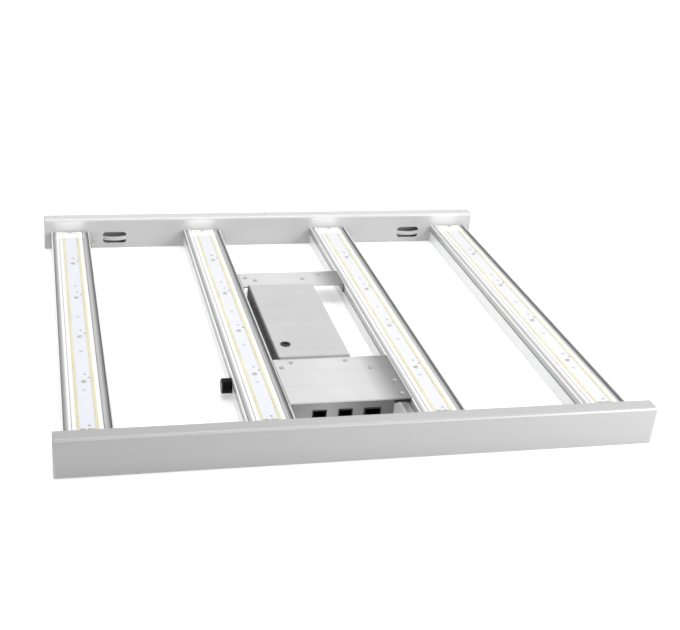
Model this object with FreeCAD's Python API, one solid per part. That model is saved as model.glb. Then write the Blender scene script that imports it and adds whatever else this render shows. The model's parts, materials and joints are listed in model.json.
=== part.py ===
import FreeCAD, Part
import math
import os

# LED grow light lying with its lamps up: two hollow end rails along X joined by four
# extruded lamp bars along Y, with a driver case and a control box between the inner bars.
# +Z is the side that shines, Y runs from the near rail to the far rail, and the origin is
# the centre of the footprint at the resting surface.  Millimetres.

os.makedirs("parts", exist_ok=True)

# ---- driving dimensions ---------------------------------------------------------------
LENGTH_X = 580.0              # over both end caps of a rail
LENGTH_Y = 540.0              # over the outer faces of the rails
RAIL_HEIGHT = 40.5
RAIL_DEPTH = 18.6
RAIL_WALL = 1.6
RAIL_TOP_RADIUS = 3.6
RAIL_BOTTOM_RADIUS = 2.4
CAP_THICKNESS = 1.6
CAP_EDGE_RADIUS = 1.2
CAP_SPIGOT_DEPTH = 6.0
CAP_SPIGOT_WALL = 1.4
PART_GAP = 0.3                # clearance between neighbouring pieces
SLIP_FIT = 0.05               # radial play of a plug or lead in its hole

BRIDGE_X = 200.0              # centre of each hanging bridge from the middle
BRIDGE_WIDTH = 30.0
BRIDGE_REACH = 4.6            # how far the lanced band bulges in from the wall
BAND_LOW = 12.0
BAND_HIGH = 17.0
SLOT_LOW = 7.0
SLOT_HIGH = 22.0
SLOT_CORNER_RADIUS = 4.2

RIVET_X = 274.5
RIVET_HEAD_RADIUS = 1.8
RIVET_HEAD_HEIGHT = 0.5
RIVET_SHANK_RADIUS = 1.2

BAR_X = (-257.0, -85.7, 85.7, 257.0)
BAR_HALF_WIDTH = 23.7
BAR_LOW = 2.0
BAR_SEAT = 22.4               # the face that carries the lamp board
BAR_RIDGE_TOP = 23.5
BAR_RIDGE_IN = 15.1
BAR_RIDGE_OUT = 17.1
BAR_EDGE_IN = 22.5
BAR_EDGE_TOP = 23.3
BAR_SLOPE_FOOT = 19.4         # foot of the slope between a ridge and the outer edge
BAR_WALL = 1.8
BAR_LIP = 4.0
BAR_SIDE_GROOVE_Z = 15.4
BAR_SIDE_GROOVE_HALF = 0.7
BAR_SIDE_GROOVE_DEPTH = 0.9
BAR_FIN_X = (-12.0, -6.0, 0.0, 6.0, 12.0)
BAR_FIN_WIDTH = 1.4
BAR_FIN_LOW = 9.0
BAR_CEILING = 20.0            # underside of the seat

BOARD_WIDTH = 28.8
BOARD_THICKNESS = 1.6
BOARD_END_GAP = 2.0
LED_ROW_X = 8.7
LED_COUNT = 112
LED_SPAN = 484.0
LED_SIZE_X = 2.8
LED_SIZE_Y = 3.5
LED_HEIGHT = 0.7
RED_COUNT = 5
RED_PITCH = 80.0
RED_SIZE = 3.0
BOARD_SCREW_COUNT = 6
BOARD_SCREW_PITCH = 96.0
BOARD_SHIFT_Y = 4.0           # screws and red lamps sit towards the far rail
SCREW_HEAD_RADIUS = 2.4
SCREW_HEAD_HEIGHT = 1.0
SCREW_SHANK_RADIUS = 1.5
SCREW_SHANK_LENGTH = 3.4
SCREW_CROSS_REACH = 1.3
SCREW_CROSS_HALF = 0.25
SCREW_CROSS_DEPTH = 0.5
PAD_Y = -229.0
PAD_X = (-4.8, 1.8)
PAD_SIZE_X = 4.4
PAD_SIZE_Y = 3.0
PAD_HEIGHT = 0.9

CLIP_LEG = 8.4
CLIP_THICKNESS = 1.4
CLIP_WIDTH = 8.0
CLIP_SCREW_RADIUS = 1.8
CLIP_SCREW_HEIGHT = 1.0
CLIP_SCREW_Z = 6.0

PLATE_THICKNESS = 1.5
PLATE_LEFT = -61.8
PLATE_RIGHT = 61.8
PLATE_TOP = 24.6
FAR_PLATE_Y = (67.5, 106.0)
NEAR_PLATE_Y = (-201.0, -112.6)
PLATE_FOOT = 9.0              # turned-down side flange of each plate
PLATE_SCREW_HEAD = 0.7
FAR_SCREWS = ((-55.5, 91.0), (-44.5, 84.0), (14.0, 85.0), (36.5, 97.0))
NEAR_SCREWS = (
    (-44.0, -121.0), (-56.0, -130.5), (14.0, -121.0), (37.0, -137.5), (54.5, -166.0), (54.5, -192.0),
)

DRIVER_X = (-56.8, 22.2)
DRIVER_Y = (-111.0, 66.0)
DRIVER_Z = (2.6, 27.0)
DRIVER_WALL = 1.4
DRIVER_EDGE_RADIUS = 2.0
DRIVER_BASE_THICKNESS = 1.6
DRIVER_PLUG_XY = (-42.5, -84.0)
DRIVER_PLUG_RADIUS = 4.2
DRIVER_PLUG_FLANGE = 1.4      # how far the plug's flange reaches past the hole
DRIVER_PLUG_HIGH = 0.5
DRIVER_PLUG_WALL = 1.0
DRIVER_PCB_THICKNESS = 1.6
DRIVER_PCB_Z = 7.0
CORE_HALF_X = 17.0
CORE_Y = (-20.0, 14.0)
CORE_HEIGHT = 13.0
COIL_HALF_X = 12.0
COIL_Y = (-24.0, 18.0)
COIL_Z = (3.0, 10.0)          # above the board
TALL_CAPACITOR = (8.0, 14.0)  # radius and height
TALL_CAPACITOR_X = (-20.0, 0.0, 20.0)
TALL_CAPACITOR_Y = 44.0
SMALL_CAPACITOR = (5.0, 12.0)
SMALL_CAPACITOR_X = (-24.0, -11.0, 11.0, 24.0)
SMALL_CAPACITOR_Y = -92.0
DRIVER_POST_INSET = 9.0
DRIVER_POST_RADIUS = 2.5
BASE_SCREW_RADIUS = 2.2
BASE_SCREW_HIGH = 0.6

BOX_X = (-61.2, 45.0)
BOX_Y = (-199.5, -126.0)
BOX_Z = (2.4, 22.8)
BOX_WALL = 1.4
SOCKET_X = (-31.2, -4.7, 23.0)
SOCKET_WIDTH = (14.6, 14.6, 17.6)
SOCKET_Z = (4.0, 14.4)
SOCKET_DEPTH = 15.0
SOCKET_WALL = 1.0
SOCKET_FACE_PROUD = 0.6
CONTACT_COUNT = 8
CONTACT_HALF = 0.25
CONTACT_HEIGHT = 0.8
CONTACT_LENGTH = 9.0
CONTACT_SETBACK = 2.5
CONTACT_MARGIN = 5.0          # jack width left over beside the row of contacts
BOX_PCB_THICKNESS = 1.4
BOX_PCB_SHORT = 8.0           # room for the lead at the board's right end
BOX_POST_RADIUS = 2.0
BOX_POST_X = (8.0, 17.0)      # from the left and right walls
BOX_POST_Y = (24.0, 8.0)      # from the near and far walls

KNOB_Y = -138.0
KNOB_Z = 10.9
KNOB_RADIUS = 7.9
KNOB_LENGTH = 14.4
KNOB_PROUD = 10.2             # how far the knob stands out of the bar's wall
KNOB_RECESS_RADIUS = 8.35     # round hole in the wall that the knob sinks into
KNOB_SKIRT_RADIUS = 5.7
KNOB_SKIRT_DEPTH = 4.2
KNOB_RIB_COUNT = 18
KNOB_RIB_RADIUS = 0.7
KNOB_FACE_RADIUS = 1.0
POINTER_WIDTH = 1.0
POINTER_DEPTH = 0.6
SHAFT_RADIUS = 3.0
BUSH_RADIUS = 3.5
BUSH_BORE_RADIUS = 3.06
BUSH_LENGTH = 3.2
POT_HALF_WIDTH = 6.4
POT_THICKNESS = 6.4
NUT_ACROSS_FLATS = 9.0
NUT_THICKNESS = 1.6
SADDLE_THICKNESS = 1.2        # plate inside the bar that carries the dimmer
SADDLE_HALF_WIDTH = 11.0
SADDLE_LOW = 4.0
SADDLE_HIGH = 15.2
SADDLE_GAP = 0.8              # from the knob's inner end to the plate

LINK_Y = -195.4
LINK_Z = 19.4
LINK_RADIUS = 2.6
GLAND_RADIUS = 3.4
GLAND_LENGTH = 3.4

# ---- derived places -------------------------------------------------------------------
HALF_X = LENGTH_X / 2
HALF_Y = LENGTH_Y / 2
RAIL_INNER_Y = HALF_Y - RAIL_DEPTH
RAIL_HALF_X = HALF_X - CAP_THICKNESS
BAR_HALF_Y = RAIL_INNER_Y
BOARD_TOP = BAR_SEAT + BOARD_THICKNESS
BOARD_HALF_Y = BAR_HALF_Y - BOARD_END_GAP
BAR_WALL_X = BAR_X[1] - BAR_HALF_WIDTH          # left wall of the bar that holds the dimmer
KNOB_LEFT = BAR_WALL_X - KNOB_PROUD
KNOB_RIGHT = KNOB_LEFT + KNOB_LENGTH
SADDLE_LEFT = KNOB_RIGHT + SADDLE_GAP
SADDLE_RIGHT = SADDLE_LEFT + SADDLE_THICKNESS
PLATE_UNDER = PLATE_TOP - PLATE_THICKNESS
X_AXIS = FreeCAD.Vector(1, 0, 0)
Y_AXIS = FreeCAD.Vector(0, 1, 0)
Z_AXIS = FreeCAD.Vector(0, 0, 1)


def export(name, shape):
    shape.exportStep("parts/" + name + ".step")


def block(x0, x1, y0, y1, z0, z1):
    return Part.makeBox(x1 - x0, y1 - y0, z1 - z0, FreeCAD.Vector(x0, y0, z0))


def rod(radius, length, base, axis):
    return Part.makeCylinder(radius, length, FreeCAD.Vector(*base), axis)


def joined(shapes):
    whole = shapes[0].multiFuse(list(shapes[1:])) if len(shapes) > 1 else shapes[0]
    return whole.removeSplitter()


def group(shapes):
    return Part.makeCompound(list(shapes))


def mirrored_y(shape):
    return shape.mirror(FreeCAD.Vector(0, 0, 0), Y_AXIS)


def mirrored_x(shape):
    return shape.mirror(FreeCAD.Vector(0, 0, 0), X_AXIS)


def edges_along(shape, axis):
    """Straight edges of a shape that run along one axis."""
    picked = []
    for edge in shape.Edges:
        if isinstance(edge.Curve, Part.Line) and abs(edge.Curve.Direction.dot(axis)) > 0.999:
            picked.append(edge)
    return picked


def extruded(points, axis, start, length):
    """A closed outline swept along X or Y.  Points are (across, up) pairs."""
    if axis == "x":
        outline = [FreeCAD.Vector(start, a, b) for a, b in points]
        sweep = X_AXIS * length
    else:
        outline = [FreeCAD.Vector(a, start, b) for a, b in points]
        sweep = Y_AXIS * length
    return Part.Face(Part.makePolygon(outline + [outline[0]])).extrude(sweep)


# ---- rails ----------------------------------------------------------------------------
def rail_solid(inset, half_length):
    """A rounded bar of the rail's section, drawn in by inset, for the far rail."""
    low, high = inset, RAIL_HEIGHT - inset
    body = block(-half_length, half_length, RAIL_INNER_Y + inset, HALF_Y - inset, low, high)
    middle = RAIL_HEIGHT / 2
    top = [e for e in edges_along(body, X_AXIS) if e.CenterOfMass.z > middle]
    body = body.makeFillet(RAIL_TOP_RADIUS - inset, top)
    bottom = [
        e for e in edges_along(body, X_AXIS)
        if e.CenterOfMass.z < low + RAIL_WALL and e.Length > half_length
    ]
    return body.makeFillet(RAIL_BOTTOM_RADIUS - inset, bottom)


def bridge_band(x):
    """The lanced strip: an arc in plan that bulges in from the rail's inner wall."""
    wall = RAIL_INNER_Y
    half = BRIDGE_WIDTH / 2

    def arc_at(depth):
        ends = [FreeCAD.Vector(x + side * half, wall + depth, BAND_LOW) for side in (-1, 1)]
        crown = FreeCAD.Vector(x, wall - BRIDGE_REACH + depth, BAND_LOW)
        return Part.Arc(ends[0], crown, ends[1]).toShape(), ends

    outer, outer_ends = arc_at(0)
    inner, inner_ends = arc_at(RAIL_WALL)
    sides = [Part.makeLine(a, b) for a, b in zip(outer_ends, inner_ends)]
    outline = Part.Wire(Part.__sortEdges__([outer, inner] + sides))
    return Part.Face(outline).extrude(Z_AXIS * (BAND_HIGH - BAND_LOW))


def bridge_window(x):
    """The opening that the band crosses, with rounded corners."""
    window = block(
        x - BRIDGE_WIDTH / 2, x + BRIDGE_WIDTH / 2,
        RAIL_INNER_Y - 1, RAIL_INNER_Y + RAIL_WALL, SLOT_LOW, SLOT_HIGH,
    )
    return window.makeFillet(SLOT_CORNER_RADIUS, edges_along(window, Y_AXIS))


def rivet_y():
    return HALF_Y - RAIL_DEPTH / 2


def far_rail():
    tube = rail_solid(0, RAIL_HALF_X).cut(rail_solid(RAIL_WALL, RAIL_HALF_X + 1))
    for x in (-BRIDGE_X, BRIDGE_X):
        tube = tube.cut(bridge_window(x))
    for x in (-RIVET_X, 0, RIVET_X):
        tube = tube.cut(
            rod(RIVET_SHANK_RADIUS, 2 * RAIL_WALL, (x, rivet_y(), RAIL_HEIGHT - 2 * RAIL_WALL), Z_AXIS)
        )
    return joined([tube, bridge_band(-BRIDGE_X), bridge_band(BRIDGE_X)])


def end_cap(side):
    """A moulded cap: a plate with softened corners and a hollow spigot inside the tube."""
    reach = CAP_THICKNESS
    plate = rail_solid(0, reach / 2)
    plate.translate(FreeCAD.Vector(RAIL_HALF_X + reach / 2, 0, 0))
    outer_face = max(plate.Faces, key=lambda f: f.CenterOfMass.x)
    plate = plate.makeFillet(CAP_EDGE_RADIUS, outer_face.Edges)
    spigot = rail_solid(RAIL_WALL + 0.1, CAP_SPIGOT_DEPTH / 2)
    hollow = rail_solid(RAIL_WALL + CAP_SPIGOT_WALL / 2, CAP_SPIGOT_DEPTH)
    spigot = spigot.cut(hollow)
    spigot.translate(FreeCAD.Vector(RAIL_HALF_X - CAP_SPIGOT_DEPTH / 2, 0, 0))
    cap = joined([plate, spigot])
    return cap if side > 0 else mirrored_x(cap)


def rivet(x, y):
    """A domed head on the rail's top with a shank through the wall."""
    head = Part.makeSphere(
        (RIVET_HEAD_RADIUS ** 2 + RIVET_HEAD_HEIGHT ** 2) / (2 * RIVET_HEAD_HEIGHT)
    )
    drop = (RIVET_HEAD_RADIUS ** 2 - RIVET_HEAD_HEIGHT ** 2) / (2 * RIVET_HEAD_HEIGHT)
    head.translate(FreeCAD.Vector(x, y, RAIL_HEIGHT - drop))
    head = head.common(rod(RIVET_HEAD_RADIUS + 1, RIVET_HEAD_HEIGHT + 1, (x, y, RAIL_HEIGHT), Z_AXIS))
    shank = rod(RIVET_SHANK_RADIUS, 2 * RAIL_WALL, (x, y, RAIL_HEIGHT - 2 * RAIL_WALL), Z_AXIS)
    return joined([head, shank])


def make_rails():
    rail = far_rail()
    export("rail_back", rail)
    export("rail_front", mirrored_y(rail))
    caps = [end_cap(-1), end_cap(1)]
    export("end_caps_back", group(caps))
    export("end_caps_front", group([mirrored_y(cap) for cap in caps]))
    rivets = [rivet(x, rivet_y()) for x in (-RIVET_X, 0, RIVET_X)]
    export("rail_rivets_back", group(rivets))
    export("rail_rivets_front", group([mirrored_y(r) for r in rivets]))


# ---- lamp bars ------------------------------------------------------------------------
def bar_outline():
    """The extrusion's section: a seat between two ridges, sloped shoulders and grooved sides."""
    groove_low = BAR_SIDE_GROOVE_Z - BAR_SIDE_GROOVE_HALF
    groove_high = BAR_SIDE_GROOVE_Z + BAR_SIDE_GROOVE_HALF
    groove_x = BAR_HALF_WIDTH - BAR_SIDE_GROOVE_DEPTH
    inner_x = BAR_HALF_WIDTH - BAR_WALL - BAR_SIDE_GROOVE_DEPTH
    lip_top = BAR_LOW + BAR_WALL
    under_slope = BAR_SLOPE_FOOT - BAR_WALL
    right = [
        (BAR_RIDGE_IN, BAR_SEAT), (BAR_RIDGE_IN, BAR_RIDGE_TOP), (BAR_RIDGE_OUT, BAR_RIDGE_TOP),
        (BAR_EDGE_IN, BAR_SLOPE_FOOT), (BAR_EDGE_IN, BAR_EDGE_TOP), (BAR_HALF_WIDTH, BAR_EDGE_TOP),
        (BAR_HALF_WIDTH, groove_high), (groove_x, groove_high), (groove_x, groove_low),
        (BAR_HALF_WIDTH, groove_low), (BAR_HALF_WIDTH, BAR_LOW),
        (inner_x - BAR_LIP, BAR_LOW), (inner_x - BAR_LIP, lip_top), (inner_x, lip_top),
        (inner_x, under_slope), (BAR_RIDGE_OUT - BAR_WALL, BAR_CEILING),
    ]
    left = [(-x, z) for x, z in reversed(right)]
    return right + left


def board_screw_places():
    first = BOARD_SHIFT_Y - BOARD_SCREW_PITCH * (BOARD_SCREW_COUNT - 1) / 2
    return [first + BOARD_SCREW_PITCH * i for i in range(BOARD_SCREW_COUNT)]


def lamp_bar(x):
    points = [(x + a, z) for a, z in bar_outline()]
    bar = extruded(points, "y", -BAR_HALF_Y, 2 * BAR_HALF_Y)
    fins = []
    for fin_x in BAR_FIN_X:
        left = x + fin_x - BAR_FIN_WIDTH / 2
        fins.append(block(left, left + BAR_FIN_WIDTH, -BAR_HALF_Y, BAR_HALF_Y, BAR_FIN_LOW, BAR_CEILING))
    bar = joined([bar] + fins)
    hole_low = BOARD_TOP - SCREW_SHANK_LENGTH
    for y in board_screw_places():
        bar = bar.cut(rod(SCREW_SHANK_RADIUS, SCREW_SHANK_LENGTH, (x, y, hole_low), Z_AXIS))
    return bar


def lamp_board(x):
    half = BOARD_WIDTH / 2
    board = block(x - half, x + half, -BOARD_HALF_Y, BOARD_HALF_Y, BAR_SEAT, BOARD_TOP)
    for y in board_screw_places():
        board = board.cut(rod(SCREW_SHANK_RADIUS, BOARD_THICKNESS, (x, y, BAR_SEAT), Z_AXIS))
    return board


def board_screw(x, y):
    """A pan-head screw with a cross recess."""
    head = rod(SCREW_HEAD_RADIUS, SCREW_HEAD_HEIGHT, (x, y, BOARD_TOP), Z_AXIS)
    rim = [e for e in head.Edges if e.CenterOfMass.z > BOARD_TOP + SCREW_HEAD_HEIGHT / 2]
    head = head.makeFillet(SCREW_HEAD_HEIGHT / 2, rim[:1])
    shank = rod(SCREW_SHANK_RADIUS, SCREW_SHANK_LENGTH, (x, y, BOARD_TOP - SCREW_SHANK_LENGTH), Z_AXIS)
    reach, arm = SCREW_CROSS_REACH, SCREW_CROSS_HALF
    top = BOARD_TOP + SCREW_HEAD_HEIGHT
    low = top - SCREW_CROSS_DEPTH
    cross = [
        block(x - reach, x + reach, y - arm, y + arm, low, top + arm),
        block(x - arm, x + arm, y - reach, y + reach, low, top + arm),
    ]
    return joined([head, shank]).cut(joined(cross))


def chip(x, y, size_x, size_y):
    half_x, half_y = size_x / 2, size_y / 2
    return block(x - half_x, x + half_x, y - half_y, y + half_y, BOARD_TOP, BOARD_TOP + LED_HEIGHT)


def white_chips(x):
    chips = []
    pitch = LED_SPAN / (LED_COUNT - 1)
    for row in (-LED_ROW_X, LED_ROW_X):
        for i in range(LED_COUNT):
            chips.append(chip(x + row, i * pitch - LED_SPAN / 2, LED_SIZE_X, LED_SIZE_Y))
    return chips


def red_chips(x):
    first = BOARD_SHIFT_Y - RED_PITCH * (RED_COUNT - 1) / 2
    return [chip(x, first + RED_PITCH * i, RED_SIZE, RED_SIZE) for i in range(RED_COUNT)]


def solder_pads(x):
    return [
        block(
            x + px - PAD_SIZE_X / 2, x + px + PAD_SIZE_X / 2,
            PAD_Y - PAD_SIZE_Y / 2, PAD_Y + PAD_SIZE_Y / 2, BOARD_TOP, BOARD_TOP + PAD_HEIGHT,
        )
        for px in PAD_X
    ]


def bar_clip():
    """An angle in the corner of a wall at x = 0 and the far rail."""
    face = RAIL_INNER_Y
    low = BAR_LOW
    high = low + CLIP_WIDTH
    on_bar = block(-CLIP_THICKNESS, 0, face - CLIP_LEG, face, low, high)
    on_rail = block(-CLIP_LEG, 0, face - CLIP_THICKNESS, face, low, high)
    return joined([on_bar, on_rail])


def clip_screws():
    """One screw head in each leg of the angle."""
    out = CLIP_LEG * 0.6
    face = RAIL_INNER_Y - CLIP_THICKNESS
    into_bar = rod(
        CLIP_SCREW_RADIUS, CLIP_SCREW_HEIGHT, (-CLIP_THICKNESS, RAIL_INNER_Y - out, CLIP_SCREW_Z), -X_AXIS
    )
    into_rail = rod(CLIP_SCREW_RADIUS, CLIP_SCREW_HEIGHT, (-out, face, CLIP_SCREW_Z), -Y_AXIS)
    return [into_bar, into_rail]


def at_bar_corner(shape, x, end):
    """Put a corner piece against the right wall of a bar."""
    piece = mirrored_x(shape)
    piece.translate(X_AXIS * (x + BAR_HALF_WIDTH))
    return piece if end > 0 else mirrored_y(piece)


def make_bars():
    screws, reds, pads, clips, clip_heads = [], [], [], [], []
    for number, x in enumerate(BAR_X, start=1):
        bar = lamp_bar(x)
        if x == BAR_X[1]:
            bar = bar.cut(dimmer_recess())
        export("bar_%d" % number, bar)
        export("board_%d" % number, lamp_board(x))
        export("leds_%d" % number, group(white_chips(x)))
        screws += [board_screw(x, y) for y in board_screw_places()]
        reds += red_chips(x)
        pads += solder_pads(x)
        for end in (-1, 1):
            clips.append(at_bar_corner(bar_clip(), x, end))
            clip_heads += [at_bar_corner(head, x, end) for head in clip_screws()]
    export("board_screws", group(screws))
    export("red_leds", group(reds))
    export("solder_pads", group(pads))
    export("bar_clips", group(clips))
    export("bar_clip_screws", group(clip_heads))


# ---- plates across the inner bars -----------------------------------------------------
def side_flange(x, y0, y1):
    """A turned-down strip whose left face is at x."""
    return block(x, x + PLATE_THICKNESS, y0, y1, PLATE_UNDER - PLATE_FOOT, PLATE_UNDER)


def cross_plate(y0, y1):
    return block(PLATE_LEFT, PLATE_RIGHT, y0, y1, PLATE_UNDER, PLATE_TOP)


def far_plate():
    """Flanges beside both inner bars."""
    right = PLATE_RIGHT - PLATE_THICKNESS
    flanges = [side_flange(x, *FAR_PLATE_Y) for x in (PLATE_LEFT, right)]
    return [cross_plate(*FAR_PLATE_Y)] + flanges


def near_plate():
    """One flange, short of the lead that crosses to the bar."""
    right = PLATE_RIGHT - PLATE_THICKNESS
    return [cross_plate(*NEAR_PLATE_Y), side_flange(right, LINK_Y + 3 * GLAND_RADIUS, NEAR_PLATE_Y[1])]


def plate_screw(x, y):
    head = rod(SCREW_HEAD_RADIUS, PLATE_SCREW_HEAD, (x, y, PLATE_TOP), Z_AXIS)
    shank = rod(SCREW_SHANK_RADIUS, PLATE_THICKNESS, (x, y, PLATE_UNDER), Z_AXIS)
    return joined([head, shank])


def make_plates():
    for name, pieces, places in (
        ("far_plate", far_plate(), FAR_SCREWS), ("near_plate", near_plate(), NEAR_SCREWS),
    ):
        plate = joined(pieces)
        for x, y in places:
            plate = plate.cut(rod(SCREW_SHANK_RADIUS, PLATE_THICKNESS, (x, y, PLATE_UNDER), Z_AXIS))
        export(name, plate)
    export("far_plate_screws", group([plate_screw(x, y) for x, y in FAR_SCREWS]))
    export("near_plate_screws", group([plate_screw(x, y) for x, y in NEAR_SCREWS]))


# ---- driver ---------------------------------------------------------------------------
def driver_case():
    (x0, x1), (y0, y1), (z0, z1) = DRIVER_X, DRIVER_Y, DRIVER_Z
    outer = block(x0, x1, y0, y1, z0 + DRIVER_BASE_THICKNESS, z1)
    top_edges = [e for e in edges_along(outer, Y_AXIS) if e.CenterOfMass.z > (z0 + z1) / 2]
    outer = outer.makeFillet(DRIVER_EDGE_RADIUS, top_edges)
    wall = DRIVER_WALL
    inner = block(x0 + wall, x1 - wall, y0 - 1, y1 + 1, z0, z1 - wall)
    case = outer.cut(inner)
    px, py = DRIVER_PLUG_XY
    return case.cut(rod(DRIVER_PLUG_RADIUS, 2 * wall, (px, py, z1 - 1.5 * wall), Z_AXIS))


def driver_ends():
    """Flat end covers inside the open ends of the case."""
    (x0, x1), (y0, y1), (z0, z1) = DRIVER_X, DRIVER_Y, DRIVER_Z
    wall = DRIVER_WALL
    low, high = z0 + DRIVER_BASE_THICKNESS, z1 - wall
    near = block(x0 + wall, x1 - wall, y0, y0 + wall, low, high)
    far = block(x0 + wall, x1 - wall, y1 - wall, y1, low, high)
    return [near, far]


def driver_plug():
    """A blanking plug: a stem in the hole, a flange over it and a dished middle."""
    px, py = DRIVER_PLUG_XY
    top = DRIVER_Z[1]
    high = DRIVER_PLUG_HIGH
    stem_low = top - 2 * DRIVER_WALL
    stem = rod(DRIVER_PLUG_RADIUS - SLIP_FIT, top - stem_low, (px, py, stem_low), Z_AXIS)
    flange = rod(DRIVER_PLUG_RADIUS + DRIVER_PLUG_FLANGE, high, (px, py, top), Z_AXIS)
    dish = rod(DRIVER_PLUG_RADIUS - DRIVER_PLUG_WALL, 2 * high, (px, py, top - high), Z_AXIS)
    return joined([stem, flange]).cut(dish)


def capacitors(size, places, y, face):
    """Standing cans; places are measured from the middle of the case."""
    radius, height = size
    middle = sum(DRIVER_X) / 2
    return [rod(radius, height, (middle + dx, y, face), Z_AXIS) for dx in places]


def driver_parts():
    """The board inside the case with its transformer and capacitors."""
    (x0, x1), (y0, y1) = DRIVER_X, DRIVER_Y
    margin = 2 * DRIVER_WALL
    low = DRIVER_PCB_Z
    face = low + DRIVER_PCB_THICKNESS
    pcb = block(x0 + margin, x1 - margin, y0 + margin, y1 - margin, low, face)
    middle = (x0 + x1) / 2
    core = block(middle - CORE_HALF_X, middle + CORE_HALF_X, *CORE_Y, face, face + CORE_HEIGHT)
    coil = block(middle - COIL_HALF_X, middle + COIL_HALF_X, *COIL_Y, face + COIL_Z[0], face + COIL_Z[1])
    tall = capacitors(TALL_CAPACITOR, TALL_CAPACITOR_X, TALL_CAPACITOR_Y, face)
    small = capacitors(SMALL_CAPACITOR, SMALL_CAPACITOR_X, SMALL_CAPACITOR_Y, face)
    return pcb, joined([core, coil]), tall + small


def post_places():
    (x0, x1), (y0, y1) = DRIVER_X, DRIVER_Y
    inset = DRIVER_POST_INSET
    return [(x, y) for x in (x0 + inset, x1 - inset) for y in (y0 + inset, (y0 + y1) / 2, y1 - inset)]


def stand_offs():
    low = DRIVER_Z[0] + DRIVER_BASE_THICKNESS
    return [rod(DRIVER_POST_RADIUS, DRIVER_PCB_Z - low, (x, y, low), Z_AXIS) for x, y in post_places()]


def base_screws():
    low = DRIVER_Z[0] - BASE_SCREW_HIGH
    return [rod(BASE_SCREW_RADIUS, BASE_SCREW_HIGH, (x, y, low), Z_AXIS) for x, y in post_places()]


def make_driver():
    (x0, x1), (y0, y1) = DRIVER_X, DRIVER_Y
    low = DRIVER_Z[0]
    export("driver_case", driver_case())
    export("driver_base", block(x0, x1, y0, y1, low, low + DRIVER_BASE_THICKNESS))
    export("driver_end_covers", group(driver_ends()))
    export("driver_plug", driver_plug())
    pcb, transformer, cans = driver_parts()
    export("driver_pcb", pcb)
    export("driver_transformer", transformer)
    export("driver_capacitors", group(cans))
    export("driver_standoffs", group(stand_offs()))
    export("driver_base_screws", group(base_screws()))


# ---- control box ----------------------------------------------------------------------
def box_shell():
    """A tray open towards the plate, with a window for each socket in its front wall."""
    (x0, x1), (y0, y1), (z0, z1) = BOX_X, BOX_Y, BOX_Z
    wall = BOX_WALL
    shell = block(x0, x1, y0, y1, z0, z1).cut(
        block(x0 + wall, x1 - wall, y0 + wall, y1 - wall, z0 + wall, z1 + 1)
    )
    for x, width in zip(SOCKET_X, SOCKET_WIDTH):
        shell = shell.cut(block(x - width / 2, x + width / 2, y0 - 1, y0 + wall + 1, *SOCKET_Z))
    return shell.cut(rod(LINK_RADIUS + SLIP_FIT, 3 * wall, (x1 - 2 * wall, LINK_Y, LINK_Z), X_AXIS))


def socket(x, width):
    """A jack body: a square tube closed at the back, its face a little proud of the wall."""
    y0 = BOX_Y[0] - SOCKET_FACE_PROUD
    low, high = SOCKET_Z
    wall = SOCKET_WALL
    half = width / 2
    body = block(x - half, x + half, y0, y0 + SOCKET_DEPTH, low, high)
    back = y0 + SOCKET_DEPTH - 2 * wall
    return body.cut(block(x - half + wall, x + half - wall, y0 - 1, back, low + wall, high - wall))


def socket_contacts(x, width):
    """Spring contacts along the ceiling of the jack."""
    pitch = (width - CONTACT_MARGIN) / CONTACT_COUNT
    y0 = BOX_Y[0] + CONTACT_SETBACK
    high = SOCKET_Z[1] - SOCKET_WALL
    first = x - pitch * (CONTACT_COUNT - 1) / 2
    half = CONTACT_HALF
    return [
        block(place - half, place + half, y0, y0 + CONTACT_LENGTH, high - CONTACT_HEIGHT, high)
        for place in (first + i * pitch for i in range(CONTACT_COUNT))
    ]


def make_box():
    (x0, x1), (y0, y1) = BOX_X, BOX_Y
    floor = BOX_Z[0] + BOX_WALL
    export("control_box", box_shell())
    for name, x, width in zip(("dim_socket_in", "dim_socket_out", "power_inlet"), SOCKET_X, SOCKET_WIDTH):
        export(name, socket(x, width))
    contacts = socket_contacts(SOCKET_X[0], SOCKET_WIDTH[0]) + socket_contacts(SOCKET_X[1], SOCKET_WIDTH[1])
    export("socket_contacts", group(contacts))
    pcb_low = SOCKET_Z[1] + 2 * PART_GAP
    margin = BOX_WALL + BOX_POST_RADIUS
    right = x1 - margin - BOX_PCB_SHORT
    board = block(x0 + margin, right, y0 + margin, y1 - margin, pcb_low, pcb_low + BOX_PCB_THICKNESS)
    export("control_pcb", board)
    posts = [
        rod(BOX_POST_RADIUS, pcb_low - floor, (x, y, floor), Z_AXIS)
        for x in (x0 + BOX_POST_X[0], x1 - BOX_POST_X[1])
        for y in (y0 + BOX_POST_Y[0], y1 - BOX_POST_Y[1])
    ]
    export("control_standoffs", group(posts))


# ---- dimmer ---------------------------------------------------------------------------
def along_shaft(radius, x0, x1):
    return rod(radius, x1 - x0, (x0, KNOB_Y, KNOB_Z), X_AXIS)


def dimmer_recess():
    """The round hole in the bar's wall and the room cut from its fins for the dimmer."""
    hole = along_shaft(KNOB_RECESS_RADIUS, BAR_WALL_X - 1, SADDLE_LEFT)
    half = POT_HALF_WIDTH + PART_GAP
    right = SADDLE_RIGHT + POT_THICKNESS + PART_GAP
    room = block(SADDLE_RIGHT, right, KNOB_Y - half, KNOB_Y + half, 0, SADDLE_HIGH)
    return joined([hole, room])


def dimmer_saddle():
    half = SADDLE_HALF_WIDTH
    plate = block(SADDLE_LEFT, SADDLE_RIGHT, KNOB_Y - half, KNOB_Y + half, SADDLE_LOW, SADDLE_HIGH)
    return plate.cut(along_shaft(BUSH_RADIUS, SADDLE_LEFT - 1, SADDLE_RIGHT + 1))


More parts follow.
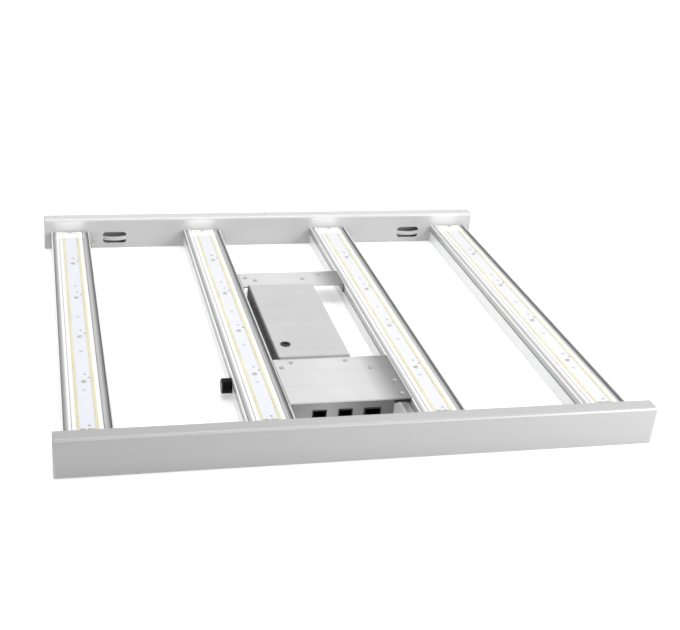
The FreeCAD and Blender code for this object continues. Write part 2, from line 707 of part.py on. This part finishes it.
def pot_body():
    """The potentiometer behind the saddle and its bushing through it."""
    right = SADDLE_RIGHT + POT_THICKNESS
    half = POT_HALF_WIDTH
    top = SADDLE_HIGH - PART_GAP
    case = block(SADDLE_RIGHT, right, KNOB_Y - half, KNOB_Y + half, KNOB_Z - half, top)
    bush_left = SADDLE_LEFT - BUSH_LENGTH
    bush = along_shaft(BUSH_RADIUS, bush_left, SADDLE_RIGHT)
    return joined([case, bush]).cut(along_shaft(BUSH_BORE_RADIUS, bush_left - 1, right - 1))


def pot_nut():
    """A hexagon nut on the bushing, against the saddle."""
    corner = NUT_ACROSS_FLATS / math.sqrt(3)
    left = SADDLE_LEFT - NUT_THICKNESS
    ring = []
    for i in range(6):
        turn = math.radians(60 * i)
        ring.append(FreeCAD.Vector(left, KNOB_Y + corner * math.cos(turn), KNOB_Z + corner * math.sin(turn)))
    nut = Part.Face(Part.makePolygon(ring + [ring[0]])).extrude(X_AXIS * NUT_THICKNESS)
    return nut.cut(along_shaft(BUSH_RADIUS, left - 1, SADDLE_LEFT + 1))


def shaft():
    right = SADDLE_RIGHT + POT_THICKNESS - SADDLE_THICKNESS - PART_GAP
    return along_shaft(SHAFT_RADIUS, KNOB_LEFT + SHAFT_RADIUS, right)


def knob():
    """A ribbed knob with a pointer groove on its face, hollow at the back over the nut."""
    body = along_shaft(KNOB_RADIUS, KNOB_LEFT, KNOB_RIGHT)
    rim = [e for e in body.Edges if e.CenterOfMass.x < KNOB_LEFT + PART_GAP and e.Length > KNOB_RADIUS]
    body = body.makeFillet(KNOB_FACE_RADIUS, rim[:1])
    centre_radius = KNOB_RADIUS + KNOB_RIB_RADIUS * 0.3
    for i in range(KNOB_RIB_COUNT):
        turn = 2 * math.pi * i / KNOB_RIB_COUNT
        y = KNOB_Y + centre_radius * math.cos(turn)
        z = KNOB_Z + centre_radius * math.sin(turn)
        body = body.cut(rod(KNOB_RIB_RADIUS, KNOB_LENGTH, (KNOB_LEFT + 3 * KNOB_FACE_RADIUS, y, z), X_AXIS))
    half = POINTER_WIDTH / 2
    pointer = block(
        KNOB_LEFT - 1, KNOB_LEFT + POINTER_DEPTH, KNOB_Y - half, KNOB_Y + half,
        KNOB_Z + SHAFT_RADIUS, KNOB_Z + KNOB_RADIUS - KNOB_FACE_RADIUS,
    )
    skirt = along_shaft(KNOB_SKIRT_RADIUS, KNOB_RIGHT - KNOB_SKIRT_DEPTH, KNOB_RIGHT + 1)
    return body.cut(pointer).cut(skirt).cut(shaft())


def make_dimmer():
    export("dimmer_saddle", dimmer_saddle())
    export("dimmer_pot", pot_body())
    export("dimmer_nut", pot_nut())
    export("dimmer_knob", knob())
    export("dimmer_shaft", shaft())


# ---- link to the bar beside the box ---------------------------------------------------
def gland(x0, x1):
    ring = rod(GLAND_RADIUS, x1 - x0, (x0, LINK_Y, LINK_Z), X_AXIS)
    return ring.cut(rod(LINK_RADIUS, x1 - x0, (x0, LINK_Y, LINK_Z), X_AXIS))


def make_link():
    start = BOX_X[1]
    end = BAR_X[2] - BAR_HALF_WIDTH
    lead = rod(LINK_RADIUS, end - start + 2 * BOX_WALL, (start - 2 * BOX_WALL, LINK_Y, LINK_Z), X_AXIS)
    export("link_lead", lead)
    export("link_glands", group([gland(start, start + GLAND_LENGTH), gland(end - GLAND_LENGTH, end)]))


make_rails()
make_bars()
make_plates()
make_driver()
make_box()
make_dimmer()
make_link()
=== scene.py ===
import json
import math
import bmesh
import bpy
from mathutils import Matrix, Vector


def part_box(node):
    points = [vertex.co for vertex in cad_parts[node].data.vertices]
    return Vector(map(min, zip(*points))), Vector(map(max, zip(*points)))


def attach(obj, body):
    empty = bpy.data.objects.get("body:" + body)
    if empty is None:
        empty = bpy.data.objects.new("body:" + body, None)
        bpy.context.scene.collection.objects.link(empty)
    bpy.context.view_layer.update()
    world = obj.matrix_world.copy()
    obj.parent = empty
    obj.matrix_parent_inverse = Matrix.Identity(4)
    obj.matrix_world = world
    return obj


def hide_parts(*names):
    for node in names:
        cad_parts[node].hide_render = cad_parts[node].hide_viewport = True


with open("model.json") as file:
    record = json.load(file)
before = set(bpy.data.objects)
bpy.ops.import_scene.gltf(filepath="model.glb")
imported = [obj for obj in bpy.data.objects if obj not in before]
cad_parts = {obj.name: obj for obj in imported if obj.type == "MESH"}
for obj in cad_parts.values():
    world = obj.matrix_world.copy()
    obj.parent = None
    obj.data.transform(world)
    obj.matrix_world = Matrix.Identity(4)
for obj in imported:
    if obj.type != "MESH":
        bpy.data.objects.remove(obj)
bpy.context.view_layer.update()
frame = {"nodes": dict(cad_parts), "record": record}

# The LED grow light lies lamps up on a pale floor.  The CAD nodes stay as they are, with
# procedural materials; the lamps and the small parts on the boards are modelled here.

MM = 0.001
FRAME_BODY = "frame"

# camera: place, turn and lens
CAMERA_PLACE = (-0.2921, -1.1064, 0.5780)
CAMERA_PITCH = 26.18          # degrees below the horizon
CAMERA_YAW = 12.83            # degrees to the right of +Y
CAMERA_ROLL = 3.82            # degrees
CAMERA_LENS = 59.0
CAMERA_SHIFT_X = 0.10

# lamps and board parts, in metres
CHIP_X = 2.8 * MM
CHIP_Y = 3.5 * MM
CHIP_HEIGHT = 0.7 * MM
CHIP_BEVEL = 0.15 * MM
LENS_INSET = 0.28 * MM
ROW_X = 8.7 * MM
ROW_COUNT = 112
SCREW_COUNT = 6
SCREW_HEAD = 4.8 * MM
RESISTOR_HALF_X = 0.9 * MM
RESISTOR_HALF_Y = 0.6 * MM
RESISTOR_HEIGHT = 0.45 * MM
RESISTOR_PLACES = ((5.6 * MM, 8.0 * MM), (1.4 * MM, 15.0 * MM))      # from each board screw
BOARD_MARGIN = 2 * MM                                                # kept free at the far end
BAR_COUNT = 4

# floor and lamp glow, in metres and watts
FLOOR_HALF = 60.0
FLOOR_Z = -0.0002
GLOW_INSET = 20 * MM
GLOW_ABOVE = 4 * MM
GLOW_RISE = 5 * MM
GLOW_SIZE = (0.036, 0.006)
GLOW_POWER = 0.0036

EVEN = (1.0, 1.0, 1.0)
ALONG_X = (0.02, 1.0, 1.0)
ALONG_Y = (1.0, 0.02, 1.0)

# nodes whose material differs from their slot's; the front rail and its rivets take a darker copy of the
# rail paint, which is painted shade
OTHER_SLOTS = {
    "far_plate_screws": "plate_screw",
    "near_plate_screws": "plate_screw",
    "rail_rivets_front": "rail_front",
    "rail_front": "rail_front",
    "dimmer_knob": "knob",
}

# painted light and shade along a piece: an axis of its own box, and stops from one side to the other
# painted shade on the bars: the upper sides darker than the top, the lower wall a little darker, the right
# shoulder darker than the left
BAR_PAINTED_SHADE = (
    ("Z", ((0.0, 0.88), (0.54, 0.86), (0.60, 0.44), (0.81, 0.42), (0.93, 0.58), (1.0, 1.0))),
    ("X", ((0.0, 1.0), (0.80, 1.0), (0.81, 0.46), (0.87, 0.55), (0.94, 0.92), (0.965, 1.0), (1.0, 0.7))),
)
# painted light on the front rail: darker at the left end, lighter to the right, and a painted highlight
# along the top front edge
RAIL_FRONT_PAINTED_LIGHT = (
    ("X", ((0.0, 0.81), (0.5, 0.91), (1.0, 0.97))),
    ("Z", ((0.0, 1.0), (0.94, 1.0), (0.97, 1.35), (0.99, 1.06))),
)
# painted light on the back rail: its top lighter than its faces
RAIL_BACK_PAINTED_LIGHT = (("Z", ((0.0, 0.84), (0.90, 0.84), (0.97, 1.1))),)
# painted dark reflection on the plates, darkening towards the right end next to bar 3
PLATE_PAINTED_REFLECTION = (("X", ((0.0, 0.95), (0.45, 1.0), (0.72, 0.90), (0.90, 0.40), (1.0, 0.26))),)
# painted shadow on the driver case's left wall, in the gap beside bar 2
DRIVER_PAINTED_SHADOW = (("X", ((0.0, 0.18), (0.015, 0.22), (0.035, 1.0), (1.0, 0.97))),)
# painted shade across the control box, lightest a third of the way along and darkest at the right end
BOX_PAINTED_SHADE = (("X", ((0.0, 0.48), (0.35, 0.62), (0.7, 0.34), (1.0, 0.22))),)


# ---- node helpers ---------------------------------------------------------------------
class Graph:
    """A material's node tree with short calls for the nodes used here."""

    def __init__(self, name):
        self.material = bpy.data.materials.new(name)
        self.material.use_nodes = True
        self.tree = self.material.node_tree
        self.shader = self.tree.nodes["Principled BSDF"]
        self.where = self.tree.nodes.new("ShaderNodeTexCoord")

    def link(self, source, target):
        self.tree.links.new(source, target)

    def set(self, **values):
        for name, value in values.items():
            self.shader.inputs[name.replace("_", " ")].default_value = value

    def stretched(self, scale):
        """The piece's own coordinates, multiplied by a scale along each axis."""
        node = self.tree.nodes.new("ShaderNodeMapping")
        node.inputs["Scale"].default_value = scale
        self.link(self.where.outputs["Object"], node.inputs["Vector"])
        return node.outputs["Vector"]

    def noise(self, vector, scale, detail=3.0, rough=0.55):
        node = self.tree.nodes.new("ShaderNodeTexNoise")
        node.inputs["Scale"].default_value = scale
        node.inputs["Detail"].default_value = detail
        node.inputs["Roughness"].default_value = rough
        self.link(vector, node.inputs["Vector"])
        return node.outputs["Fac"]

    def ramp(self, value, stops):
        """A colour ramp; stops are (position, grey or colour)."""
        node = self.tree.nodes.new("ShaderNodeValToRGB")
        band = node.color_ramp
        while len(band.elements) < len(stops):
            band.elements.new(0.5)
        for element, (place, colour) in zip(band.elements, stops):
            element.position = place
            grey = (colour,) * 3 if isinstance(colour, float) else colour
            element.color = (*grey, 1.0)
        self.link(value, node.inputs["Fac"])
        return node.outputs["Color"]

    def mix(self, amount, a, b, blend="MIX"):
        """Mix two colours; either may be a socket or a plain colour."""
        node = self.tree.nodes.new("ShaderNodeMix")
        node.data_type = "RGBA"
        node.blend_type = blend
        self._feed(node.inputs[0], amount)
        self._feed(node.inputs[6], a)
        self._feed(node.inputs[7], b)
        return node.outputs[2]

    def _feed(self, socket, value):
        if isinstance(value, (int, float)):
            socket.default_value = value
        elif isinstance(value, tuple):
            socket.default_value = (*value, 1.0)
        else:
            self.link(value, socket)

    def bump(self, height, strength, distance):
        node = self.tree.nodes.new("ShaderNodeBump")
        node.inputs["Strength"].default_value = strength
        node.inputs["Distance"].default_value = distance
        self.link(height, node.inputs["Height"])
        self.link(node.outputs["Normal"], self.shader.inputs["Normal"])

    def across(self, axis, stops):
        """A ramp along one axis of the piece's own box."""
        split = self.tree.nodes.new("ShaderNodeSeparateXYZ")
        self.link(self.where.outputs["Generated"], split.inputs["Vector"])
        return self.ramp(split.outputs[axis], stops)

    def paint_light_and_shade(self, finish, painted_shading):
        """Painted light and shade: a colour darkened and lightened along the piece, once for each axis with
        its stops.
        """
        for axis, stops in painted_shading:
            finish = self.mix(1.0, finish, self.across(axis, stops), "MULTIPLY")
        return finish


def shade(colour, factor):
    return tuple(channel * factor for channel in colour)


# ---- materials ------------------------------------------------------------------------
def brushed_metal(name, colour, metallic, rough, grain, relief=0.10, painted_shading=()):
    """Satin metal: long fine streaks along the grain, cloudy roughness, faint handling marks, and painted
    light and shade along the piece where given.
    """
    g = Graph(name)
    streaks = g.noise(g.stretched(grain), 90.0, 4.0, 0.6)
    clouds = g.noise(g.stretched(EVEN), 14.0, 3.0)
    specks = g.noise(g.stretched(EVEN), 900.0, 2.0)
    streak_tone = g.ramp(streaks, ((0.30, shade(colour, 0.95)), (0.70, shade(colour, 1.04))))
    cloud_tone = g.ramp(clouds, ((0.35, shade(colour, 0.96)), (0.65, shade(colour, 1.03))))
    base = g.mix(0.45, streak_tone, cloud_tone)
    marks = g.ramp(specks, ((0.18, 0.90), (0.30, 1.0)))
    finish = g.mix(0.5, base, marks, "MULTIPLY")
    g.link(g.paint_light_and_shade(finish, painted_shading), g.shader.inputs["Base Color"])
    g.link(g.ramp(clouds, ((0.3, rough - 0.05), (0.7, rough + 0.06))), g.shader.inputs["Roughness"])
    g.set(Metallic=metallic)
    g.bump(streaks, relief, 0.0002)
    return g.material


def powder_coat(name, colour, metallic, rough, painted_shading=()):
    """Silver paint: fine flake sparkle, a very low orange peel and cloudy tone, with painted light and shade
    along the piece where given.
    """
    g = Graph(name)
    flakes = g.noise(g.stretched(EVEN), 1400.0, 2.0, 0.7)
    peel = g.noise(g.stretched(EVEN), 330.0, 2.0)
    clouds = g.noise(g.stretched((0.5, 1.0, 1.0)), 9.0, 3.0)
    flake_tone = g.ramp(flakes, ((0.30, shade(colour, 0.93)), (0.72, shade(colour, 1.07))))
    cloud_tone = g.ramp(clouds, ((0.30, shade(colour, 0.97)), (0.70, shade(colour, 1.02))))
    finish = g.mix(0.5, flake_tone, cloud_tone)
    g.link(g.paint_light_and_shade(finish, painted_shading), g.shader.inputs["Base Color"])
    g.link(g.ramp(clouds, ((0.3, rough - 0.04), (0.7, rough + 0.05))), g.shader.inputs["Roughness"])
    g.set(Metallic=metallic)
    g.bump(peel, 0.06, 0.0002)
    return g.material


def moulded(name, colour, rough, grit=700.0, relief=0.25, gloss=0.5):
    """Moulded plastic: fine spark-eroded grain and a slight change of tone."""
    g = Graph(name)
    grain = g.noise(g.stretched(EVEN), grit, 3.0)
    clouds = g.noise(g.stretched(EVEN), 25.0, 2.0)
    tone = g.ramp(clouds, ((0.3, shade(colour, 0.85)), (0.7, shade(colour, 1.15))))
    g.link(tone, g.shader.inputs["Base Color"])
    g.link(g.ramp(grain, ((0.3, rough - 0.07), (0.7, rough + 0.07))), g.shader.inputs["Roughness"])
    g.bump(grain, relief, 0.0001)
    g.set(Specular_IOR_Level=gloss)
    return g.material


def solder_mask(name, centre, margin):
    """White board: a cool middle, warmer white edges and faint copper tracks under the mask."""
    g = Graph(name)
    across = g.across("X", ((0.14, margin), (0.27, centre), (0.73, centre), (0.86, margin)))
    tracks = g.noise(g.stretched((420.0, 9.0, 1.0)), 1.0, 1.0, 0.2)
    relief = g.ramp(tracks, ((0.47, 0.97), (0.50, 1.0), (0.53, 0.97)))
    g.link(g.mix(0.35, across, relief, "MULTIPLY"), g.shader.inputs["Base Color"])
    grain = g.noise(g.stretched(EVEN), 1200.0, 2.0)
    g.link(g.ramp(grain, ((0.3, 0.40), (0.7, 0.50))), g.shader.inputs["Roughness"])
    g.bump(tracks, 0.08, 0.0001)
    return g.material


def phosphor(name, colour):
    """The cloudy gel in a lamp's window."""
    g = Graph(name)
    clouds = g.noise(g.stretched(EVEN), 420.0, 2.0)
    tone = g.ramp(clouds, ((0.3, shade(colour, 0.92)), (0.7, shade(colour, 1.05))))
    g.link(tone, g.shader.inputs["Base Color"])
    fine = g.noise(g.stretched(EVEN), 2500.0, 2.0)
    g.link(g.ramp(fine, ((0.3, 0.22), (0.7, 0.32))), g.shader.inputs["Roughness"])
    g.set(Coat_Weight=0.3)
    return g.material


def floor_paint(name):
    """A pale, slightly polished studio floor."""
    g = Graph(name)
    clouds = g.noise(g.stretched(EVEN), 2.0, 3.0)
    g.link(g.ramp(clouds, ((0.3, 0.85), (0.7, 0.87))), g.shader.inputs["Base Color"])
    g.link(g.ramp(clouds, ((0.3, 0.05), (0.7, 0.07))), g.shader.inputs["Roughness"])
    g.set(IOR=1.75, Emission_Color=(1.0, 1.0, 1.0, 1.0), Emission_Strength=0.29)
    return g.material


def make_materials():
    silver = (0.62, 0.63, 0.64)
    return {
        "rail": powder_coat("rail_paint_painted_top_light", (0.52, 0.52, 0.52), 0.12, 0.32, painted_shading=RAIL_BACK_PAINTED_LIGHT),
        # the front rail's paint is the rail paint darkened, as painted shade
        "rail_front": powder_coat(
            "front_rail_shaded_paint", (0.435, 0.435, 0.435), 0.12, 0.32, painted_shading=RAIL_FRONT_PAINTED_LIGHT,
        ),
        "cap": moulded("cap_plastic", (0.42, 0.43, 0.44), 0.45),
        "rivet": brushed_metal("rivet_steel", (0.46, 0.46, 0.47), 0.6, 0.35, ALONG_X),
        "bar": brushed_metal("bar_anodised_painted_shade", (0.90, 0.905, 0.90), 0.25, 0.33, ALONG_Y, painted_shading=BAR_PAINTED_SHADE),
        "board": solder_mask("board_white", (0.65, 0.66, 0.71), (0.76, 0.76, 0.75)),
        "red_led": phosphor("red_lamp_gel", (0.64, 0.57, 0.55)),
        "screw": brushed_metal("screw_steel", (0.58, 0.54, 0.46), 0.6, 0.38, ALONG_X),
        "plate_screw": brushed_metal("plate_screw_steel", (0.44, 0.44, 0.44), 0.6, 0.38, ALONG_X),
        "solder": brushed_metal("solder_tin", (0.46, 0.41, 0.26), 0.8, 0.30, EVEN),
        "clip": brushed_metal("clip_metal", (0.40, 0.40, 0.41), 0.3, 0.34, ALONG_Y),
        "plate": brushed_metal("plate_metal_painted_reflection", (0.64, 0.64, 0.64), 0.30, 0.34, ALONG_X, painted_shading=PLATE_PAINTED_REFLECTION),
        "driver": brushed_metal("driver_metal_painted_shadow", (0.50, 0.50, 0.50), 0.20, 0.38, ALONG_X, painted_shading=DRIVER_PAINTED_SHADOW),
        "black": moulded("black_plastic", (0.008, 0.008, 0.009), 0.30),
        "knob": moulded("knob_plastic", (0.003, 0.003, 0.003), 0.30, relief=0.08, gloss=0.10),
        "pcb": moulded("green_board", (0.02, 0.12, 0.06), 0.40),
        "core": moulded("winding_varnish", (0.05, 0.045, 0.04), 0.35),
        "standoff": brushed_metal("standoff_steel", silver, 0.9, 0.3, ALONG_X),
        "box": brushed_metal("box_metal_painted_shade", (0.58, 0.58, 0.59), 0.50, 0.40, ALONG_X, painted_shading=BOX_PAINTED_SHADE),
        "steel": brushed_metal("shaft_steel", silver, 1.0, 0.25, ALONG_Y),
        "pot": moulded("dimmer_body", (0.10, 0.10, 0.11), 0.40),
        "lead": moulded("lead_jacket", (0.008, 0.008, 0.008), 0.40, 1500.0),
        "chip_body": moulded("lamp_package", (0.66, 0.63, 0.50), 0.45, 1500.0, 0.1),
        "chip_gel": phosphor("lamp_gel", (0.68, 0.63, 0.36)),
        "resistor": moulded("resistor_body", (0.20, 0.20, 0.21), 0.40, 1500.0),
        "floor": floor_paint("floor_white"),
    }


# ---- CAD nodes ------------------------------------------------------------------------
def dress_cad_nodes(materials):
    """Give every CAD node its slot's material, but for the lamp blocks, which are replaced."""
    for part in frame["record"]["subparts"]:
        node = frame["nodes"][part["node"]]
        slot = OTHER_SLOTS.get(part["node"], part["material_slot"])
        if slot not in materials:
            continue
        node.data.materials.clear()
        node.data.materials.append(materials[slot])


def soften(names, width):
    """A narrow bevel that catches the light along a CAD node's hard edges."""
    for name in names:
        bevel = frame["nodes"][name].modifiers.new("edge", "BEVEL")
        bevel.width = width
        bevel.segments = 2
        bevel.limit_method = "ANGLE"
        bevel.angle_limit = math.radians(40)
        bevel.harden_normals = False


# ---- pieces ---------------------------------------------------------------------------
def piece_from(mesh, name, materials):
    """Turn a bmesh into an object that rides on the frame."""
    data = bpy.data.meshes.new(name)
    mesh.to_mesh(data)
    mesh.free()
    for material in materials:
        data.materials.append(material)
    obj = bpy.data.objects.new(name, data)
    bpy.context.collection.objects.link(obj)
    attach(obj, FRAME_BODY)
    return obj


def lofted(mesh, rings, material_index):
    """Join rings of four corners from the bottom up, with a floor and a lid."""
    levels = [[mesh.verts.new(corner) for corner in ring] for ring in rings]
    for lower, upper in zip(levels, levels[1:]):
        for i in range(4):
            j = (i + 1) % 4
            face = mesh.faces.new((lower[i], lower[j], upper[j], upper[i]))
            face.material_index = material_index
    mesh.faces.new(list(reversed(levels[0]))).material_index = material_index
    mesh.faces.new(levels[-1]).material_index = material_index


def ring(x, y, z, half_x, half_y):
    """Four corners of a level rectangle, counterclockwise from above."""
    return [
        (x - half_x, y - half_y, z), (x + half_x, y - half_y, z),
        (x + half_x, y + half_y, z), (x - half_x, y + half_y, z),
    ]


def add_chip(mesh, x, y, z):
    """A lamp package: a tapered body and a low pillow of gel in its window."""
    half_x, half_y = CHIP_X / 2, CHIP_Y / 2
    top = z + CHIP_HEIGHT * 0.86
    lofted(mesh, [
        ring(x, y, z, half_x, half_y),
        ring(x, y, z + CHIP_HEIGHT * 0.55, half_x, half_y),
        ring(x, y, top, half_x - CHIP_BEVEL, half_y - CHIP_BEVEL),
    ], 0)
    gel_x, gel_y = half_x - LENS_INSET, half_y - LENS_INSET
    lofted(mesh, [
        ring(x, y, top, gel_x, gel_y),
        ring(x, y, z + CHIP_HEIGHT * 0.96, gel_x * 0.86, gel_y * 0.86),
        ring(x, y, z + CHIP_HEIGHT, gel_x * 0.5, gel_y * 0.5),
    ], 1)


def white_lamps(materials):
    """Two rows of lamps on each board, in place of the plain CAD blocks."""
    for number in range(1, BAR_COUNT + 1):
        node = "leds_%d" % number
        low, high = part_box(node)
        middle = (low[0] + high[0]) / 2
        first = low[1] + CHIP_Y / 2
        pitch = (high[1] - low[1] - CHIP_Y) / (ROW_COUNT - 1)
        mesh = bmesh.new()
        for row in (-ROW_X, ROW_X):
            for i in range(ROW_COUNT):
                add_chip(mesh, middle + row, first + i * pitch, low[2])
        lamps = piece_from(mesh, "lamps_%d" % number, (materials["chip_body"], materials["chip_gel"]))
        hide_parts(node)


def board_parts(materials):
    """Two small resistors beyond each board screw."""
    low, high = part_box("board_screws")
    first = low[1] + SCREW_HEAD / 2
    pitch = (high[1] - low[1] - SCREW_HEAD) / (SCREW_COUNT - 1)
    for number in range(1, BAR_COUNT + 1):
        board_low, board_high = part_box("board_%d" % number)
        middle = (board_low[0] + board_high[0]) / 2
        top = board_high[2]
        mesh = bmesh.new()
        for i in range(SCREW_COUNT):
            for dx, dy in RESISTOR_PLACES:
                y = first + i * pitch + dy
                if y < board_high[1] - BOARD_MARGIN:
                    add_resistor(mesh, middle + dx, y, top)
        parts = piece_from(mesh, "board_parts_%d" % number, (materials["resistor"], materials["solder"]))


def add_resistor(mesh, x, y, z):
    """A chip resistor: a dark body between two tinned ends."""
    half_x, half_y, top = RESISTOR_HALF_X, RESISTOR_HALF_Y, z + RESISTOR_HEIGHT
    lofted(mesh, [ring(x, y, z, half_x * 0.6, half_y), ring(x, y, top, half_x * 0.55, half_y * 0.9)], 0)
    for side in (-1, 1):
        end = x + side * half_x * 0.8
        foot = ring(end, y, z, half_x * 0.2, half_y * 1.02)
        lofted(mesh, [foot, ring(end, y, top, half_x * 0.2, half_y * 0.95)], 1)


# ---- stage ----------------------------------------------------------------------------
def add_floor(materials):
    mesh = bmesh.new()
    mesh.faces.new([mesh.verts.new(corner) for corner in ring(0.0, 0.0, FLOOR_Z, FLOOR_HALF, FLOOR_HALF)])
    data = bpy.data.meshes.new("floor")
    mesh.to_mesh(data)
    mesh.free()
    data.materials.append(materials["floor"])
    floor = bpy.data.objects.new("floor", data)
    bpy.context.collection.objects.link(floor)


def add_light(name, place, target, size, power):
    """A soft rectangular light aimed at the target."""
    data = bpy.data.lights.new(name, "AREA")
    data.shape = "RECTANGLE"
    data.size, data.size_y = size
    data.energy = power
    light = bpy.data.objects.new(name, data)
    light.location = place
    light.rotation_mode = "QUATERNION"
    light.rotation_quaternion = (Vector(target) - Vector(place)).to_track_quat("-Z", "Y")
    bpy.context.collection.objects.link(light)


def add_lights():
    add_light("overhead", (0.0, 0.4, 2.2), (0.0, 0.0, 0.0), (2.4, 2.4), 8.0)
    add_light("key", (1.2, -1.0, 1.0), (0.0, 0.0, 0.0), (0.3, 0.3), 15.0)
    add_light("left_fill", (-1.5, 0.2, 0.5), (0.0, 0.1, 0.0), (1.2, 0.7), 3.0)
    add_light("front_fill", (0.9, -1.0, 0.35), (0.3, -0.3, 0.0), (0.5, 0.4), 3.0)
    add_light("back_fill", (0.0, 0.1, 0.85), (0.0, 0.27, 0.0), (0.8, 0.3), 2.6)


def add_lamp_glow():
    """The glow of the lamps on the rails' inner faces, one small light at each end of a board."""
    for number in range(1, BAR_COUNT + 1):
        low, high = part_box("board_%d" % number)
        middle = (low[0] + high[0]) / 2
        top = high[2] + GLOW_ABOVE
        for name, end, side in (("near", low[1], -1), ("far", high[1], 1)):
            place = (middle, end - side * GLOW_INSET, top)
            target = (middle, end, top + GLOW_RISE)
            add_light("glow_%d_%s" % (number, name), place, target, GLOW_SIZE, GLOW_POWER)


def add_world():
    """A white room, a little greyer low down."""
    world = bpy.data.worlds.new("studio")
    bpy.context.scene.world = world
    world.use_nodes = True
    nodes, links = world.node_tree.nodes, world.node_tree.links
    where = nodes.new("ShaderNodeTexCoord")
    split = nodes.new("ShaderNodeSeparateXYZ")
    ramp = nodes.new("ShaderNodeValToRGB")
    band = ramp.color_ramp
    band.elements[0].position, band.elements[0].color = 0.0, (0.94, 0.94, 0.94, 1.0)
    band.elements[1].position, band.elements[1].color = 0.5, (1.0, 1.0, 1.0, 1.0)
    links.new(where.outputs["Generated"], split.inputs["Vector"])
    links.new(split.outputs["Z"], ramp.inputs["Fac"])
    links.new(ramp.outputs["Color"], nodes["Background"].inputs["Color"])
    nodes["Background"].inputs["Strength"].default_value = 0.76


def add_camera():
    data = bpy.data.cameras.new("camera")
    data.lens = CAMERA_LENS
    data.sensor_width = 36.0
    data.shift_x = CAMERA_SHIFT_X
    data.clip_start, data.clip_end = 0.05, 60.0
    camera = bpy.data.objects.new("camera", data)
    turn = (
        Matrix.Rotation(math.radians(-CAMERA_YAW), 4, "Z")
        @ Matrix.Rotation(math.radians(90 - CAMERA_PITCH), 4, "X")
        @ Matrix.Rotation(math.radians(CAMERA_ROLL), 4, "Z")
    )
    camera.matrix_world = Matrix.Translation(CAMERA_PLACE) @ turn
    bpy.context.collection.objects.link(camera)
    bpy.context.scene.camera = camera


def main():
    materials = make_materials()
    dress_cad_nodes(materials)
    soften(("rail_front", "rail_back", "far_plate", "near_plate", "driver_case", "control_box"), 0.4 * MM)
    soften(("dim_socket_in", "dim_socket_out", "power_inlet", "bar_clips"), 0.25 * MM)
    white_lamps(materials)
    board_parts(materials)
    add_floor(materials)
    add_lights()
    add_lamp_glow()
    add_world()
    add_camera()
    bpy.context.scene.view_settings.view_transform = "Standard"


main()
